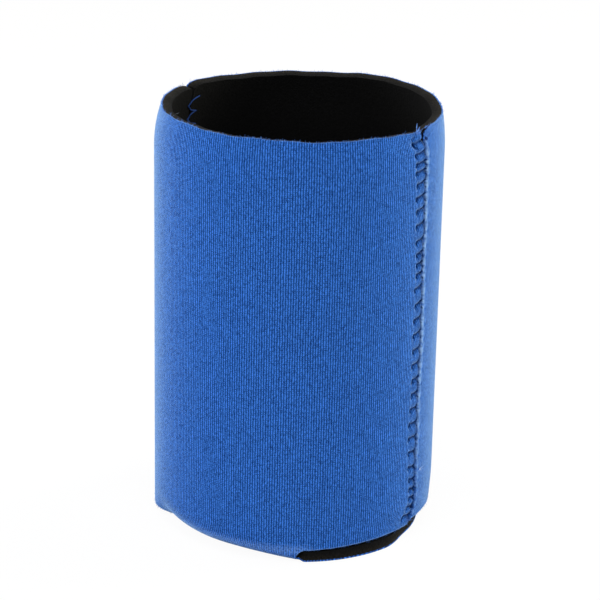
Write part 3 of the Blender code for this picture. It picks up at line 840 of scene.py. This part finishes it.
for side, right in (("right", True), ("left", False)):
    height = chance.uniform(RIDGE_FUZZ_LOW, RIM_HEIGHT - RIDGE_FUZZ_UNDER_RIM, FUZZ_ALONG_RIDGES // 2)
    across = RIDGE_FUZZ_SPREAD[0] + chance.exponential(RIDGE_FUZZ_SPREAD[1], len(height))
    relief, _ = stitch_relief(across, height, right)
    roots = seam_places(right, across, height, RIDGE_FUZZ_ROOT - relief)
    turn = (0.0 if right else pi) + across / WALL_RADIUS
    aims = away_from(turn, 0.5, 0.2, -0.8)
    lengths = chance.uniform(*RIDGE_FUZZ, len(height))
    loose_fibres(f"ridge_fuzz_{side}", roots, aims, lengths, RIDGE_FUZZ_RADIUS)

# Larger loose bits: a yarn and a tuft stand up from the corner by the open butt, another tuft
# hangs at the seam's foot, a little lint clings to the right panel, and one hair has come loose
# inside the rim.
white_lint, _, _ = finish("white_lint", {"Roughness": 0.8, "Base Color": (0.55, 0.65, 0.80, 1)})
for name, count, turn, out, height, lean, length, radius, material in (
        ("frayed_yarn", 3, -6.3, -0.0006, 0.1064, (-0.2, 3.0, 0.5), 0.0026, 0.00013, pale_fibre),
        ("corner_tuft", 16, -6.0, -0.0002, 0.1068, (0.1, 1.0, 0.4), 0.0008, 0.00006, pale_fibre),
        ("seam_foot_tuft", 16, -3.1, -0.0006, 0.0054, (0.5, -0.7, 0.4), 0.0012, 0.00005, pale_fibre),
        ("lint", 5, 2.9, 0.0004, 0.0176, (0.1, 0.2, 1.0), 0.0016, 0.00004, white_lint),
        ("rim_hair", 1, -131.0, -0.0028, 0.1060, (-0.6, 1.0, 0.3), 0.0028, 0.00003, white_lint)):
    bearing = radians(turn) + chance.normal(0, 0.007, count)
    roots = placed(bearing, WALL_RADIUS + out + 0 * bearing, height + chance.normal(0, 0.00025, count))
    aims = away_from(bearing, *lean)
    piece = loose_fibres(name, roots, aims, length * chance.uniform(0.6, 1.0, count), radius, 0.2)
    piece.data.materials[0] = material

# The knot that ends the right needle thread: the same thread, looped through itself three times
# and drawn small beside the top of the seam.
KNOT_BEHIND, KNOT_HEIGHT, KNOT_SIZE = 0.0006, 0.1049, 0.00016
KNOT_OUT, KNOT_WEAVE, KNOT_THREAD_RADIUS = 0.00055, 0.00018, 0.00014
turns = np.linspace(0, 2 * pi, 70)
wide = KNOT_SIZE * (2 + np.cos(3 * turns))
across, height = KNOT_BEHIND + wide * np.cos(2 * turns), KNOT_HEIGHT + wide * np.sin(2 * turns)
knot = seam_places(True, across, height, KNOT_WEAVE * np.sin(3 * turns) - KNOT_OUT)
twisted_thread("thread_knot", knot, KNOT_THREAD_RADIUS, blue_thread, 7)

# The studio: a white floor, a white surround and large soft lamps on both sides. The floor and the
# surround look white, but light the sleeve only as grey ones would.
FLOOR_WHITE, SURROUND = 0.95, 0.35


def seen_straight(nodes):
    """1 for a look at it, also in gloss or through something clear, and 0 for the light it sends."""
    path = nodes.add("ShaderNodeLightPath").socket.node
    straight, glossy, clear = (
        Wire(nodes.tree, path.outputs[f"Is {kind} Ray"]) for kind in ("Camera", "Glossy", "Transmission"))
    return straight.maths("MAXIMUM", glossy).maths("MAXIMUM", clear)


bpy.ops.mesh.primitive_plane_add(size=6, location=(0, 0, 0))
floor = bpy.context.object
floor.name = "studio_floor"
floor_white = bpy.data.materials.new("studio_white")
floor_white.use_nodes = True
nodes = Wire(floor_white.node_tree)
seen = seen_straight(nodes)
paper = nodes.add("ShaderNodeBsdfDiffuse", {}, {"Color": (0.85, 0.85, 0.85, 1)})
glow = nodes.add("ShaderNodeEmission", {}, {"Color": (1, 1, 1, 1), "Strength": 1.0})
mixed = nodes.add("ShaderNodeMixShader", {}, {0: seen * FLOOR_WHITE, 1: paper, 2: glow})
mixed.into(nodes.tree.nodes["Material Output"], "Surface")
floor.data.materials.append(floor_white)

world = bpy.data.worlds.new("studio_surround")
bpy.context.scene.world = world
world.use_nodes = True
nodes = Wire(world.node_tree)
seen = seen_straight(nodes)
background = nodes.tree.nodes["Background"]
background.inputs["Color"].default_value = (1, 1, 1, 1)
(seen * (1 - SURROUND) + SURROUND).into(background, "Strength")


LAMP_AWAY, LAMP_SIZE, LAMP_AIM_HEIGHT = 0.9, 0.5, 0.055


def soft_lamp(name, round_angle, above, watts, colour=(1, 1, 1)):
    """A square lamp aimed at the middle of the sleeve, placed by its angle from the camera's."""
    turn = CAMERA_ROUND + radians(round_angle)
    towards = Vector((sin(turn) * cos(radians(above)), -cos(turn) * cos(radians(above)), sin(radians(above))))
    bpy.ops.object.light_add(type="AREA", location=Vector((0, 0, LAMP_AIM_HEIGHT)) + towards * LAMP_AWAY)
    lamp = bpy.context.object
    lamp.name = name
    lamp.rotation_euler = towards.to_track_quat("Z", "Y").to_euler()
    lamp.data.shape, lamp.data.size = "SQUARE", LAMP_SIZE
    lamp.data.energy, lamp.data.color = watts, colour


soft_lamp("lamp_left", -116, 16, 5.6)
soft_lamp("lamp_right", 112, 20, 9.6, (1.0, 0.99, 0.86))
soft_lamp("lamp_front_left", -40, 20, 1.6)
soft_lamp("lamp_top", -10, 72, 5.2)
